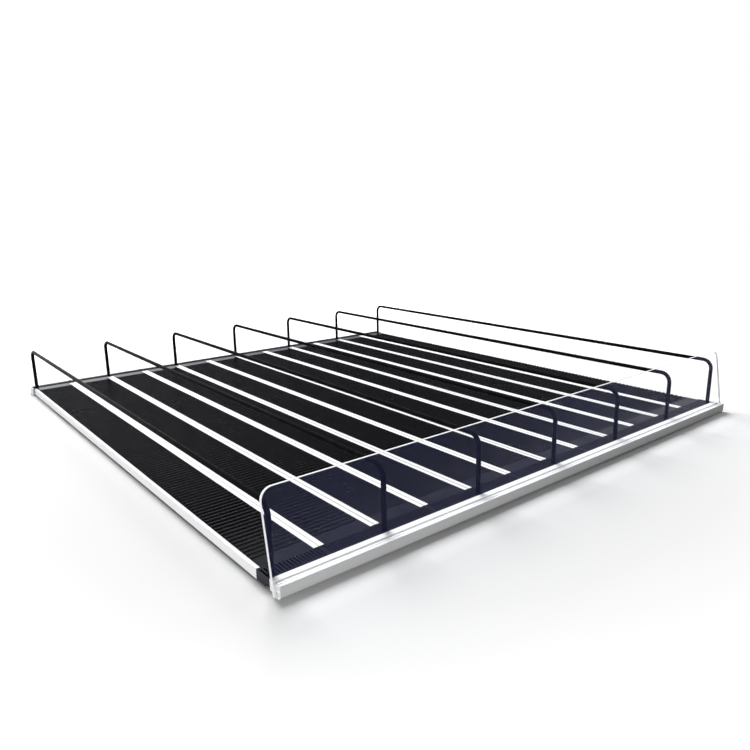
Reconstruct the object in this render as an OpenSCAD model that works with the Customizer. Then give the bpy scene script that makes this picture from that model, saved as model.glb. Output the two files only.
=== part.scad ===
// Gravity-feed roller deck: twelve roller lanes between slim rails, toothed end
// combs, lift-out wire dividers and a clear front stop in an extruded front profile.
// Millimetres. X runs across the lanes, Y from front to rear, Z up. The origin is
// the middle of the deck on the surface that it rests on.

/* [Lanes] */
// Distance from one lane to the next
lane_pitch = 60; // [56:0.5:66]
// Length of the lane rails from front to rear
rail_len = 720; // [600:1:800]
// Height of the rails
rail_h = 9; // [8.6:0.1:11]
// Width of a rail that stands between two lanes
rail_w = 10.5; // [9.5:0.1:12]
// Width of the outermost rails
side_rail_w = 3.5; // [3.2:0.1:4.5]
// Wall of the rails where the roller pins turn
rail_wall = 1.5; // [1.3:0.1:1.8]
// Top skin of the rails between two lanes
rail_skin = 1.6; // [1.2:0.1:2]
// Width of the fine groove along the middle of a rail's top
groove_w = 0.9; // [0.4:0.1:1]
// Depth of that groove
groove_depth = 0.4; // [0.3:0.1:0.8]
// How much shorter the outermost rails are at each end
side_rail_setback = 2.4; // [1:0.1:4]

/* [Rollers] */
// Diameter of a roller
roller_d = 5.6; // [5:0.1:5.9]
// Distance from one roller to the next
roller_pitch = 6.55; // [6.3:0.05:8]
// How far the rollers stand above the rails
roller_proud = 0.5; // [0.3:0.1:1.2]
// Gap between a roller's end and the rail beside it
roller_end_gap = 0.25; // [0.2:0.05:0.4]
// Diameter of a roller's end pins
pin_d = 1.6; // [1.2:0.1:1.7]
// How far a pin reaches into the rail
pin_reach = 1.2; // [0.8:0.1:1.2]
// Running clearance round a pin
pin_clearance = 0.08; // [0.06:0.01:0.1]
// Width of the small bevel at a roller's ends
roller_bevel = 0.3; // [0.1:0.05:0.5]

/* [End combs] */
// Length of a comb's teeth
tooth_len = 15; // [13:0.1:18]
// Number of slots for each lane
slots_per_lane = 18; // [16:2:20]
// Depth of the bar that joins the teeth beside the profile
bar_depth = 3.6; // [2.6:0.1:4]
// How far that bar laps the floor of the slots
bar_lap = 0.6; // [0.4:0.1:0.8]
// Width of a slot between two teeth
slot_w = 1.7; // [1.6:0.05:1.8]
// Depth of the slots from the top of the comb
slot_depth = 7; // [6:0.1:7.2]
// Solid root between the slots and the rails
slot_root = 1.2; // [0.8:0.1:2]
// Least width of the wall beside the outermost slots
comb_edge = 0.7; // [0.5:0.1:1]
// How far the combs stand above the rails
comb_proud = 0.3; // [0.2:0.1:1]
// Length of the smooth tongue between two rails
tongue_len = 16.2; // [12:0.1:16.2]
// Gap between a tongue and the rail beside it
tongue_gap = 0.25; // [0.15:0.05:0.4]
// Wall of the hollow tongues
tongue_wall = 1.8; // [1.4:0.1:2.4]
// Length of the plugs that hold the rails
plug_len = 10; // [6:0.5:14]
// Gap round a plug inside its rail
plug_gap = 0.2; // [0.1:0.05:0.3]
// Seam between two combs that stand side by side
comb_seam = 0.3; // [0.1:0.05:0.4]

/* [Front profile] */
// Depth of the profile's top band from front to rear
profile_d = 15.4; // [14.5:0.1:20]
// How far the profile stands above the rails
profile_proud = 1; // [0.4:0.1:1.4]
// Wall of the profile
profile_wall = 1.5; // [1.2:0.1:1.8]
// How far the stop's pocket hangs below the rails
pocket_drop = 2; // [1.6:0.1:3]
// Thickness of the pocket's floor
pocket_floor = 1.2; // [1:0.1:1.6]
// Length of the lower flange under the comb
flange_len = 7; // [6:0.1:10]
// Thickness of that flange
flange_t = 1.2; // [1:0.1:1.5]
// Thickness of the profile's end caps
cap_t = 1.5; // [1.2:0.1:2.5]
// Diameter of the end cap screws
screw_d = 1.8; // [1.4:0.1:1.8]
// Distance from the profile's front face to the middle of those screws
screw_inset = 2.4; // [2:0.1:2.5]
// Length of those screws under the head
screw_len = 9; // [6:0.5:14]
// Diameter of the screw heads
screw_head_d = 3.2; // [2.8:0.1:3.4]
// Height of the screw heads
screw_head_h = 1.1; // [0.8:0.1:1.4]

/* [Front stop] */
// Height of the stop above the rails
stop_h = 74; // [50:0.5:90]
// Thickness of the clear sheet
stop_t = 3; // [2.6:0.1:3.2]
// Backward lean of the stop in degrees
stop_lean = 9.5; // [7:0.5:10]
// Distance from the profile's rear edge to the middle of the stop
stop_inset = 8.2; // [7.6:0.1:8.6]
// How far the stop reaches past the deck on each side
stop_overhang = 2.7; // [0:0.1:4]
// Radius of the stop's upper corners
stop_corner_r = 11; // [6:0.5:20]
// Clearance between the stop and its pocket on each side
stop_clearance = 0.15; // [0.1:0.01:0.2]

/* [Dividers] */
// Diameter of the divider wire
wire_d = 5; // [4:0.1:5.4]
// Height of the dividers above the rails
divider_h = 62.5; // [40:0.5:80]
// Radius of the wire's bends along its middle
bend_r = 12; // [8:0.5:20]
// Thickness of the flat blade at each foot
blade_t = 1.3; // [1:0.05:1.4]
// Depth that the blades reach into the combs
blade_depth = 5.5; // [3:0.1:6.5]
// Distance of the front foot from the rails' front ends
front_foot = 12.6; // [8:0.1:12.6]
// Distance of the rear foot from the rails' rear ends
rear_foot = 4.5; // [3.5:0.1:10]

/* [Rear profile] */
// Thickness of the rear profile
rear_t = 1.8; // [1.4:0.1:2]
// Height of the rear lip
rear_lip_h = 6; // [4:0.1:6.5]
// How far the rear flange reaches under the rails
rear_reach = 9; // [5:0.5:14]
// Thickness of the rear end caps
rear_cap_t = 1.8; // [1.2:0.1:3]

/* [Cross rods] */
// Diameter of the rods that tie the rails together
rod_d = 2.6; // [2:0.1:2.7]
// Clearance round a rod in the rails
rod_clearance = 0.15; // [0.1:0.01:0.2]
// Number of rods
rod_count = 3; // [2:1:4]

/* [Hidden] */
$fn = 32;
lane_count = 12;
cut = 1;
seat = 0.3;

// Heights
deck_bottom = pocket_drop;
deck_top = deck_bottom + rail_h;
comb_top = deck_top + comb_proud;
profile_top = deck_top + profile_proud;
roller_axis_z = deck_top + roller_proud - roller_d / 2;
rod_z = deck_bottom + rod_d / 2 + 0.7;

// Widths
deck_w = lane_count * lane_pitch - rail_w + 2 * side_rail_w;
side = deck_w / 2;
roller_len = lane_pitch - rail_w - 2 * roller_end_gap;
slot_pitch = lane_pitch / slots_per_lane;
end_divider_x = floor((side - wire_d / 2) / slot_pitch) * slot_pitch;

// Depths
comb_reach = tooth_len + bar_depth;
overall_d = profile_d + comb_reach + rail_len + comb_reach + rear_t;
front_y = -overall_d / 2;
profile_rear_y = front_y + profile_d;
rail_front_y = profile_rear_y + comb_reach;
rail_rear_y = rail_front_y + rail_len;
rear_y = overall_d / 2;

// Pocket that holds the front stop, and the bores beside it for the end cap screws
stop_y = profile_rear_y - stop_inset;
pocket_half = stop_t / 2 + stop_clearance;
pocket_rise = profile_top - pocket_floor;
pocket_len = pocket_rise / cos(stop_lean);
pocket_y = stop_y - pocket_rise * tan(stop_lean);
bore_r = screw_d / 2 + 0.1;
screw_y = front_y + screw_inset;
screw_z = [profile_top - screw_head_d / 2 - 0.9, deck_bottom + screw_head_d / 2 + 0.9];

// Rollers of one lane
end_room = tongue_len + roller_d / 2 + seat;
roller_count = floor((rail_len - 2 * end_room) / roller_pitch) + 1;
first_roller = (rail_len - (roller_count - 1) * roller_pitch) / 2;
live_index = 4;

function lane_x(lane) = (lane - (lane_count + 1) / 2) * lane_pitch;
function rail_x(rail) = (rail - lane_count / 2) * lane_pitch;
function roller_y(i) = rail_front_y + first_roller + i * roller_pitch;
function rod_y(i) = roller_y(round((i + 1) * roller_count / (rod_count + 1))) + roller_pitch / 2;
function divider_x(i) = i == 1 ? -end_divider_x : i == 7 ? end_divider_x : rail_x(2 * i - 2);

// A side view, drawn with Y across and Z up, given a width along X
module along_x(width) {
    rotate([90, 0, 90])
        linear_extrude(height = width, center = true)
            children();
}

module rect(y_from, y_to, z_from, z_to) {
    translate([y_from, z_from])
        square([y_to - y_from, z_to - z_from]);
}

// ---- Rails ----

module pin_holes_2d() {
    for (i = [0 : roller_count - 1])
        translate([roller_y(i), roller_axis_z])
            circle(d = pin_d + 2 * pin_clearance, $fn = 24);
}

module rod_holes_2d() {
    for (i = [0 : rod_count - 1])
        translate([rod_y(i), rod_z])
            circle(d = rod_d + 2 * rod_clearance, $fn = 24);
}

// One pierced wall of a rail, shorter by setback at each end
module bearing_wall(x, width, setback) {
    translate([x, 0, 0])
        along_x(width)
            difference() {
                rect(rail_front_y + setback, rail_rear_y - setback, deck_bottom, deck_top);
                pin_holes_2d();
                rod_holes_2d();
            }
}

module lane_rail(rail) {
    inner_w = rail_w - 2 * rail_wall;
    color("gainsboro")
        translate([rail_x(rail), 0, 0]) {
            for (dir = [-1, 1])
                bearing_wall(dir * (rail_w - rail_wall) / 2, rail_wall, 0);
            difference() {
                translate([-inner_w / 2, rail_front_y, deck_top - rail_skin])
                    cube([inner_w, rail_len, rail_skin]);
                translate([-groove_w / 2, rail_front_y - cut, deck_top - groove_depth])
                    cube([groove_w, rail_len + 2 * cut, groove_depth + cut]);
            }
        }
}

module side_rail(dir) {
    outer_w = side_rail_w - rail_wall;
    setback = side_rail_setback;
    color("gainsboro") {
        bearing_wall(dir * (side - side_rail_w + rail_wall / 2), rail_wall, setback);
        translate([dir * (side - outer_w / 2), 0, 0])
            along_x(outer_w)
                rect(rail_front_y + setback, rail_rear_y - setback, deck_bottom, deck_top);
    }
}

// ---- Rollers ----

module roller(lane, i) {
    core = roller_len - 2 * roller_bevel;
    pin_span = roller_len + 2 * (roller_end_gap + pin_reach);
    translate([lane_x(lane), roller_y(i), roller_axis_z])
        rotate([0, 90, 0]) {
            cylinder(d = roller_d, h = core, center = true);
            for (end = [-1, 1])
                mirror([0, 0, end < 0 ? 1 : 0])
                    translate([0, 0, core / 2])
                        cylinder(d1 = roller_d, d2 = roller_d - 2 * roller_bevel, h = roller_bevel);
            cylinder(d = pin_d, h = pin_span, center = true, $fn = 24);
        }
}

module rollers(lane) {
    color("dimgray")
        for (i = [0 : roller_count - 1])
            if (i != live_index)
                roller(lane, i);
}

module live_roller(lane) {
    color("slategray")
        roller(lane, live_index);
}

// ---- End combs ----

// Slots of a comb between two places along X, seen from above, with the rails at y = 0
// and the teeth towards -y
module comb_slots_2d(x_from, x_to) {
    first = ceil((x_from + slot_w / 2 + comb_edge) / slot_pitch);
    last = floor((x_to - slot_w / 2 - comb_edge) / slot_pitch);
    for (k = [first : last])
        translate([k * slot_pitch - slot_w / 2, -tooth_len])
            square([slot_w, tooth_len - slot_root]);
}

// Smooth tongue between the rails of one lane, hollow from below
module comb_tongue(x, width) {
    height = comb_top - deck_bottom;
    translate([x - width / 2, 0, deck_bottom])
        difference() {
            cube([width, tongue_len, height]);
            translate([tongue_wall, tongue_wall, -cut])
                cube([width - 2 * tongue_wall, tongue_len - 2 * tongue_wall, height - tongue_wall + cut]);
        }
}

// Plug that fills a rail's open section
module comb_plug(x_from, x_to) {
    translate([x_from, 0, deck_bottom])
        cube([x_to - x_from, plug_len, rail_h - rail_skin - plug_gap]);
}

// A comb from x_from to x_to, which carries the lanes from first_lane to last_lane. Its
// underside is stepped: for the profile's flange, and higher under the bar
module comb(x_from, x_to, first_lane, last_lane) {
    tongue_w = lane_pitch - rail_w - 2 * tongue_gap;
    half_plug = rail_w / 2 - rail_wall - plug_gap;
    reach = comb_reach - seat;
    step_w = x_to - x_from + 2 * cut;
    flange_step = flange_t + seat;
    bar_step = comb_top - slot_depth - bar_lap - deck_bottom;
    difference() {
        translate([x_from, -reach, deck_bottom])
            cube([x_to - x_from, reach, comb_top - deck_bottom]);
        translate([0, 0, comb_top - slot_depth])
            linear_extrude(height = slot_depth + cut)
                comb_slots_2d(x_from, x_to);
        translate([x_from - cut, -reach - cut, deck_bottom - cut])
            cube([step_w, flange_len + cut, flange_step + cut]);
        translate([x_from - cut, -reach - cut, deck_bottom - cut])
            cube([step_w, reach - tooth_len + cut, bar_step + cut]);
    }
    for (lane = [first_lane : last_lane])
        comb_tongue(lane_x(lane), tongue_w);
    for (rail = [first_lane - 1 : last_lane])
        if (rail > 0 && rail < lane_count)
            comb_plug(max(rail_x(rail) - half_plug, x_from), min(rail_x(rail) + half_plug, x_to));
}

// Cheek of an end comb, which reaches to the shorter outermost rail
module comb_cheek(dir) {
    translate([dir < 0 ? -side : side - side_rail_w, -slot_root, deck_bottom])
        cube([side_rail_w, slot_root + side_rail_setback - seat, rail_h]);
}

// Combs 2 to 6 each carry two lanes, and combs 1 and 7 one lane at the deck's sides
module comb_module(i) {
    x_from = i == 1 ? -side : rail_x(2 * i - 3) + comb_seam / 2;
    x_to = i == 7 ? side : rail_x(2 * i - 1) - comb_seam / 2;
    comb(x_from, x_to, max(2 * i - 2, 1), min(2 * i - 1, lane_count));
    if (i == 1)
        comb_cheek(-1);
    if (i == 7)
        comb_cheek(1);
}

module front_comb(i) {
    color("dimgray")
        translate([0, rail_front_y, 0])
            comb_module(i);
}

module rear_combs() {
    color("dimgray")
        for (i = [1 : 7])
            translate([0, rail_rear_y, 0])
                mirror([0, 1, 0])
                    comb_module(i);
}

// ---- Front profile ----

module pocket_2d() {
    translate([stop_y, profile_top])
        rotate(-stop_lean)
            translate([-pocket_half, -pocket_len])
                square([2 * pocket_half, pocket_len + 2 * cut]);
}

module profile_outline_2d() {
    pocket_out = pocket_half + profile_wall;
    edge = 0.4;
    polygon([
        [profile_rear_y, profile_top],
        [front_y + edge, profile_top],
        [front_y, profile_top - edge],
        [front_y, deck_bottom + edge],
        [pocket_y - pocket_out, 0],
        [pocket_y + pocket_out, 0],
        [pocket_y + pocket_out, deck_bottom],
        [profile_rear_y, deck_bottom]
    ]);
}

// Hollow between the pocket and the rear wall
module profile_chamber_2d() {
    rect(
        stop_y + pocket_half + profile_wall, profile_rear_y - profile_wall,
        deck_bottom + profile_wall, profile_top - profile_wall
    );
}

module screw_bores_2d() {
    for (z = screw_z)
        translate([screw_y, z])
            circle(r = bore_r, $fn = 24);
}

module front_profile() {
    color("white")
        along_x(deck_w - 2 * cap_t)
            difference() {
                union() {
                    profile_outline_2d();
                    rect(
                        profile_rear_y - cut, profile_rear_y + flange_len,
                        deck_bottom, deck_bottom + flange_t
                    );
                }
                pocket_2d();
                profile_chamber_2d();
                screw_bores_2d();
                rect(front_y + 3, front_y + 3 + groove_w, profile_top - groove_depth, profile_top + cut);
            }
}

module profile_end_cap(dir) {
    color("whitesmoke")
        translate([dir * (side - cap_t / 2), 0, 0])
            along_x(cap_t)
                difference() {
                    profile_outline_2d();
                    pocket_2d();
                    screw_bores_2d();
                }
}

module end_cap_screws() {
    color("silver")
        for (dir = [-1, 1])
            for (z = screw_z)
                translate([dir * side, screw_y, z])
                    rotate([0, dir * 90, 0]) {
                        cylinder(d = screw_head_d, h = screw_head_h, $fn = 24);
                        translate([0, 0, -screw_len])
                            cylinder(d = screw_d, h = screw_len + screw_head_h / 2, $fn = 24);
                    }
}

// ---- Front stop ----

module stop_outline_2d(width, height, r) {
    translate([-width / 2, 0])
        square([width, height - r]);
    translate([-width / 2 + r, 0])
        square([width - 2 * r, height]);
    for (x = [-width / 2 + r, width / 2 - r])
        translate([x, height - r])
            circle(r = r, $fn = 64);
}

module front_stop() {
    foot = pocket_len - seat;
    rise = (stop_h - profile_proud) / cos(stop_lean);
    color("lightcyan", 0.4)
        translate([0, stop_y, profile_top])
            rotate([90 - stop_lean, 0, 0])
                translate([0, -foot, -stop_t / 2])
                    linear_extrude(height = stop_t)
                        stop_outline_2d(deck_w + 2 * stop_overhang, foot + rise, stop_corner_r);
}

// ---- Dividers ----

module divider(i) {
    top_z = deck_top + divider_h - wire_d / 2;
    front = rail_front_y - front_foot;
    rear = rail_rear_y + rear_foot;
    leg = top_z - bend_r - comb_top;
    color("black")
        translate([divider_x(i), 0, 0]) {
            translate([0, front + bend_r, top_z])
                rotate([-90, 0, 0])
                    cylinder(d = wire_d, h = rear - front - 2 * bend_r);
            for (end = [0, 1])
                translate([0, end == 0 ? front : rear, comb_top])
                    mirror([0, end, 0]) {
                        cylinder(d = wire_d, h = leg);
                        translate([0, bend_r, leg])
                            rotate([90, 0, -90])
                                rotate_extrude(angle = 90)
                                    translate([bend_r, 0])
                                        circle(d = wire_d);
                        translate([-blade_t / 2, -wire_d / 2 + 1, -blade_depth])
                            cube([blade_t, wire_d - 2, blade_depth + 1]);
                    }
        }
}

// ---- Rear profile and cross rods ----

module rear_profile() {
    color("silver")
        along_x(deck_w)
            union() {
                rect(rail_rear_y - rear_reach, rear_y, 0, deck_bottom);
                rect(rear_y - rear_t, rear_y, 0, deck_bottom + rear_lip_h);
            }
}

module rear_end_caps() {
    color("lightgray")
        for (dir = [-1, 1])
            translate([dir * (side + rear_cap_t / 2), 0, 0])
                along_x(rear_cap_t)
                    rect(rail_rear_y + rear_t, rear_y, 0, deck_top - 0.5);
}

module cross_rods() {
    rod_len = deck_w - 2 * (side_rail_w - rail_wall) - 2 * seat;
    color("silver")
        for (i = [0 : rod_count - 1])
            translate([0, rod_y(i), rod_z])
                rotate([0, 90, 0])
                    cylinder(d = rod_d, h = rod_len, center = true, $fn = 24);
}

front_profile();
profile_end_cap(-1);  // left_end_cap
profile_end_cap(1);  // right_end_cap
end_cap_screws();
front_stop();
rear_profile();
rear_end_caps();
cross_rods();
side_rail(-1);  // left_side_rail
side_rail(1);  // right_side_rail
lane_rail(1);  // lane_rail_01
lane_rail(2);  // lane_rail_02
lane_rail(3);  // lane_rail_03
lane_rail(4);  // lane_rail_04
lane_rail(5);  // lane_rail_05
lane_rail(6);  // lane_rail_06
lane_rail(7);  // lane_rail_07
lane_rail(8);  // lane_rail_08
lane_rail(9);  // lane_rail_09
lane_rail(10);  // lane_rail_10
lane_rail(11);  // lane_rail_11
rollers(1);  // rollers_01
rollers(2);  // rollers_02
rollers(3);  // rollers_03
rollers(4);  // rollers_04
rollers(5);  // rollers_05
rollers(6);  // rollers_06
rollers(7);  // rollers_07
rollers(8);  // rollers_08
rollers(9);  // rollers_09
rollers(10);  // rollers_10
rollers(11);  // rollers_11
rollers(12);  // rollers_12
live_roller(1);  // live_roller_01
live_roller(2);  // live_roller_02
live_roller(3);  // live_roller_03
live_roller(4);  // live_roller_04
live_roller(5);  // live_roller_05
live_roller(6);  // live_roller_06
live_roller(7);  // live_roller_07
live_roller(8);  // live_roller_08
live_roller(9);  // live_roller_09
live_roller(10);  // live_roller_10
live_roller(11);  // live_roller_11
live_roller(12);  // live_roller_12
front_comb(1);  // front_comb_1
front_comb(2);  // front_comb_2
front_comb(3);  // front_comb_3
front_comb(4);  // front_comb_4
front_comb(5);  // front_comb_5
front_comb(6);  // front_comb_6
front_comb(7);  // front_comb_7
rear_combs();
divider(1);  // divider_1
divider(2);  // divider_2
divider(3);  // divider_3
divider(4);  // divider_4
divider(5);  // divider_5
divider(6);  // divider_6
divider(7);  // divider_7
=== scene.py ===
# %% [markdown]
# # A gravity-feed roller deck
# The real object is a shallow shelf deck. Goods stand on twelve lanes of thin black
# rollers, slide to the front on their own weight, and stop at a clear sheet. Black wire
# loops keep the rows of goods apart. This lesson takes the finished CAD solids as a
# fixed frame and dresses them: it measures them, makes a camera and a studio, mixes the
# finishes, and then makes the pieces that deserve finer shapes than the solids have.

import math
import random

import bmesh
import bpy
from mathutils import Matrix, Vector


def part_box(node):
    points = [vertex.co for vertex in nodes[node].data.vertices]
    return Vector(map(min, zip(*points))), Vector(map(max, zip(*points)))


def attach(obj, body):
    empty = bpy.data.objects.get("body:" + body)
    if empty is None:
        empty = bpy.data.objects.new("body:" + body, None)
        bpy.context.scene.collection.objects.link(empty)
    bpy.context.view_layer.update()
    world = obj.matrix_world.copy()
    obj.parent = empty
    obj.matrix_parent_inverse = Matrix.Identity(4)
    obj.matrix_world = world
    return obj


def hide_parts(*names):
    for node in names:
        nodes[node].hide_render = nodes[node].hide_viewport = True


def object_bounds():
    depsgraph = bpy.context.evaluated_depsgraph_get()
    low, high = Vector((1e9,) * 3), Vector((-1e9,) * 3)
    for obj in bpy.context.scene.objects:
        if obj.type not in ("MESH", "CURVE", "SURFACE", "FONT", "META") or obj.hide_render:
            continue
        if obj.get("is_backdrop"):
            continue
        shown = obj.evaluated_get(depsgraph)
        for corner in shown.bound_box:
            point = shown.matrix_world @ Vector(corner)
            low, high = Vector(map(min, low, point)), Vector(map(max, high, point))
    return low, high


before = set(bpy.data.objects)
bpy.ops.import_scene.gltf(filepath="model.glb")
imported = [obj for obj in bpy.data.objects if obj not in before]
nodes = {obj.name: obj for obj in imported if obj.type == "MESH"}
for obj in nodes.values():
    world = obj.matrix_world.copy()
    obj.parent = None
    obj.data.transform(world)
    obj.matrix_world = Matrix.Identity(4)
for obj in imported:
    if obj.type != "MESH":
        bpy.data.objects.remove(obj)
cad_low, cad_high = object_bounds()
MM = 0.001
print("solids:", len(nodes), "box:", [round(v, 4) for v in (*cad_low, *cad_high)])

# %% [markdown]
# ## The camera
# The deck is seen from its front left corner, a little above it. The camera is placed by
# numbers rather than by a target, so the view stays the same whatever the deck carries.

# %% Camera
camera = bpy.data.objects.new("camera", bpy.data.cameras.new("camera"))
bpy.context.collection.objects.link(camera)
camera.location = (-0.5792, -0.7797, 0.286)
camera.rotation_euler = [math.radians(a) for a in (75.84, 0.815, -38.924)]
camera.data.sensor_width = 36
camera.data.lens = 32.089
camera.data.clip_start = 0.01
bpy.context.scene.camera = camera
bpy.context.scene.view_settings.view_transform = "Standard"
print("camera lens:", camera.data.lens)

# %% [markdown]
# ## Small helpers for node trees
# A material in Blender is a graph of nodes. Four short helpers keep the cells below
# readable. They add a node with its values, do a sum, mix two colours and make a colour.
# Each takes a number where another node's socket could stand, and the other way round.

# %% Node helpers
def add_node(tree, kind, settings=None, **inputs):
    """A new node of that kind; settings are its own properties, inputs its sockets."""
    node = tree.nodes.new(kind)
    for name, value in (settings or {}).items():
        setattr(node, name, value)
    for name, value in inputs.items():
        socket = node.inputs[name.replace("_", " ")]
        if isinstance(value, bpy.types.NodeSocket):
            tree.links.new(value, socket)
        else:
            socket.default_value = value
    return node


def math_node(tree, operation, first, second=0.0, clamp=False):
    """The result of a Math node on two numbers or sockets."""
    node = tree.nodes.new("ShaderNodeMath")
    node.operation = operation
    node.use_clamp = clamp
    for socket, value in zip(node.inputs, (first, second)):
        if isinstance(value, bpy.types.NodeSocket):
            tree.links.new(value, socket)
        else:
            socket.default_value = value
    return node.outputs[0]


def mix_colours(tree, factor, first, second):
    """The result of a Mix node on two colours."""
    node = tree.nodes.new("ShaderNodeMix")
    node.data_type = "RGBA"
    for index, value in ((0, factor), (6, first), (7, second)):
        if isinstance(value, bpy.types.NodeSocket):
            tree.links.new(value, node.inputs[index])
        else:
            node.inputs[index].default_value = value
    return node.outputs[2]


def colour(red, green, blue):
    """An opaque colour."""
    return (red, green, blue, 1.0)


print("node helpers ready")

# %% [markdown]
# ## The studio
# The deck lies on a white table in soft light. The world is a white sweep in a darker
# room. The camera and the clear sheet see it pure white. Reflections see it bright only low
# down at the rear, and dimmer overhead, in front and to either side, which draws one thin
# bright line along every black roller. The light that the world sheds is gentler again.

# %% World light
LIGHT_ALL_ROUND = 0.11

world = bpy.data.worlds.new("studio")
bpy.context.scene.world = world
world.use_nodes = True
tree = world.node_tree
tree.nodes.clear()


def ramp(tree, value, start, end, low, high):
    """value, eased from low at start to high at end."""
    node = add_node(tree, "ShaderNodeMapRange", {"interpolation_type": "SMOOTHSTEP"}, Value=value)
    for label, number in (("From Min", start), ("From Max", end), ("To Min", low), ("To Max", high)):
        node.inputs[label].default_value = number
    return node.outputs[0]


rays = add_node(tree, "ShaderNodeLightPath").outputs
sky = add_node(tree, "ShaderNodeTexCoord").outputs["Generated"]
way = add_node(tree, "ShaderNodeSeparateXYZ", Vector=sky)
dimmer_up = ramp(tree, way.outputs["Z"], 0.16, 0.45, 1.0, 0.13)
dimmer_front = ramp(tree, way.outputs["Y"], -0.35, 0.25, 0.22, 1.0)
dimmer_right = ramp(tree, way.outputs["X"], 0.1, 0.65, 1.5, 0.4)
dimmer_left = ramp(tree, way.outputs["X"], -0.6, -0.05, 0.3, 1.0)
sweep = dimmer_up
for dimmer in (dimmer_front, dimmer_right, dimmer_left):
    sweep = math_node(tree, "MULTIPLY", sweep, dimmer)
sees_white = math_node(tree, "MAXIMUM", rays["Is Camera Ray"], rays["Is Transmission Ray"])


def room(strength, tint):
    """A plain background of that tint; strength is a number or a socket."""
    node = add_node(tree, "ShaderNodeBackground", Color=tint)
    if isinstance(strength, float):
        node.inputs["Strength"].default_value = strength
    else:
        tree.links.new(strength, node.inputs["Strength"])
    return node.outputs[0]


def mix_light(factor, first, second):
    """first where factor is 0, second where it is 1."""
    node = add_node(tree, "ShaderNodeMixShader", Fac=factor)
    tree.links.new(first, node.inputs[1])
    tree.links.new(second, node.inputs[2])
    return node.outputs[0]


shed = room(LIGHT_ALL_ROUND, colour(0.97, 0.985, 1.0))
mirrored = room(sweep, colour(0.96, 0.975, 1.0))
seen = room(1.0, colour(1, 1, 1))
light = mix_light(sees_white, mix_light(rays["Is Glossy Ray"], shed, mirrored), seen)
tree.links.new(light, add_node(tree, "ShaderNodeOutputWorld").inputs[0])
print("world strength:", LIGHT_ALL_ROUND)

# %% [markdown]
# Four area lamps do the rest. The large one stands high behind the deck, so that the
# shadow falls to the front. A low strip at the left lights the rail's side, a small lamp
# thins the shadow at the right, and a little card lights the front profile's face. An
# area lamp would show as a hard white bar in the rollers, so reflections don't see them.

# %% Lamps
def soft_lamp(name, place, target, size, power):
    """An area lamp at place that shines at target; size is its width and height."""
    lamp = bpy.data.objects.new(name, bpy.data.lights.new(name, "AREA"))
    bpy.context.collection.objects.link(lamp)
    lamp.data.shape = "RECTANGLE"
    lamp.data.size, lamp.data.size_y = size
    lamp.data.energy = power
    lamp.location = place
    lamp.rotation_euler = (Vector(target) - Vector(place)).to_track_quat("-Z", "Y").to_euler()
    lamp.visible_camera = lamp.visible_glossy = False


soft_lamp("lamp_above", (0.4, 2.2, 2.4), (0, -0.1, 0), (1.9, 1.9), 235.0)
soft_lamp("lamp_left", (-1.5, 0, 0.1), (-0.36, 0, 0.006), (1.5, 0.14), 13.5)
soft_lamp("lamp_right", (0.85, -0.25, 1.1), (0.45, -0.42, 0), (0.5, 0.5), 2.8)
soft_lamp("low_card", (-0.45, -0.95, 0.045), (-0.3, -0.38, 0.01), (0.3, 0.06), 1.1)

# %% [markdown]
# ## The table
# A round white table takes the soft shadow. It glows a little more the further it is from
# the deck, but only where the camera sees it, so it fades into the white of the room and
# no horizon shows. To all other rays it is a darker grey, which keeps the light that it
# throws back at the deck low.

# %% Floor
TABLE_RADIUS, FADE_START, FADE_END = 4.0, 0.4, 1.2
floor_mesh = bpy.data.meshes.new("floor")
disc = bmesh.new()
bmesh.ops.create_circle(disc, cap_ends=True, segments=96, radius=TABLE_RADIUS)
disc.to_mesh(floor_mesh)
disc.free()
floor = bpy.data.objects.new("floor", floor_mesh)
bpy.context.collection.objects.link(floor)
floor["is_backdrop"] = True

paint = bpy.data.materials.new("table_white")
paint.use_nodes = True
tree = paint.node_tree
shader = tree.nodes["Principled BSDF"]
rays = add_node(tree, "ShaderNodeLightPath").outputs
place = add_node(tree, "ShaderNodeTexCoord").outputs["Object"]
seen = math_node(tree, "MAXIMUM", rays["Is Camera Ray"], rays["Is Transmission Ray"])
mottle = add_node(tree, "ShaderNodeTexNoise", Scale=3.0, Detail=2.0, Vector=place)
bright = mix_colours(tree, mottle.outputs["Fac"], colour(0.65, 0.65, 0.65), colour(0.62, 0.62, 0.62))
tree.links.new(mix_colours(tree, seen, colour(0.22, 0.22, 0.22), bright), shader.inputs["Base Color"])
shader.inputs["Roughness"].default_value = 0.9
shader.inputs["Specular IOR Level"].default_value = 0.0
away = add_node(tree, "ShaderNodeVectorMath", {"operation": "LENGTH"})
tree.links.new(place, away.inputs[0])
lift = ramp(tree, away.outputs["Value"], FADE_START, FADE_END, 0.0, 1.0)
tree.links.new(math_node(tree, "MULTIPLY", lift, seen), shader.inputs["Emission Strength"])
shader.inputs["Emission Color"].default_value = colour(1, 1, 1)
floor_mesh.materials.append(paint)
print("table radius:", TABLE_RADIUS, "m")

# %% [markdown]
# ## Effects that several finishes share
# Real surfaces differ from place to place. Four small shader groups give that: drawn
# lines along an extrusion, a fine grain, soft handling marks, and worn edges. Each
# gives only a value between 0 and 1, and the materials decide what to do with it.

# %% Shader groups
def new_group(name, inputs, outputs):
    """An empty shader group with named number inputs and outputs."""
    group = bpy.data.node_groups.new(name, "ShaderNodeTree")
    for label, value in inputs.items():
        socket = group.interface.new_socket(label, in_out="INPUT", socket_type="NodeSocketFloat")
        socket.default_value = value
    for label in outputs:
        group.interface.new_socket(label, in_out="OUTPUT", socket_type="NodeSocketFloat")
    entry = group.nodes.new("NodeGroupInput")
    return group, entry.outputs, group.nodes.new("NodeGroupOutput").inputs


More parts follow.
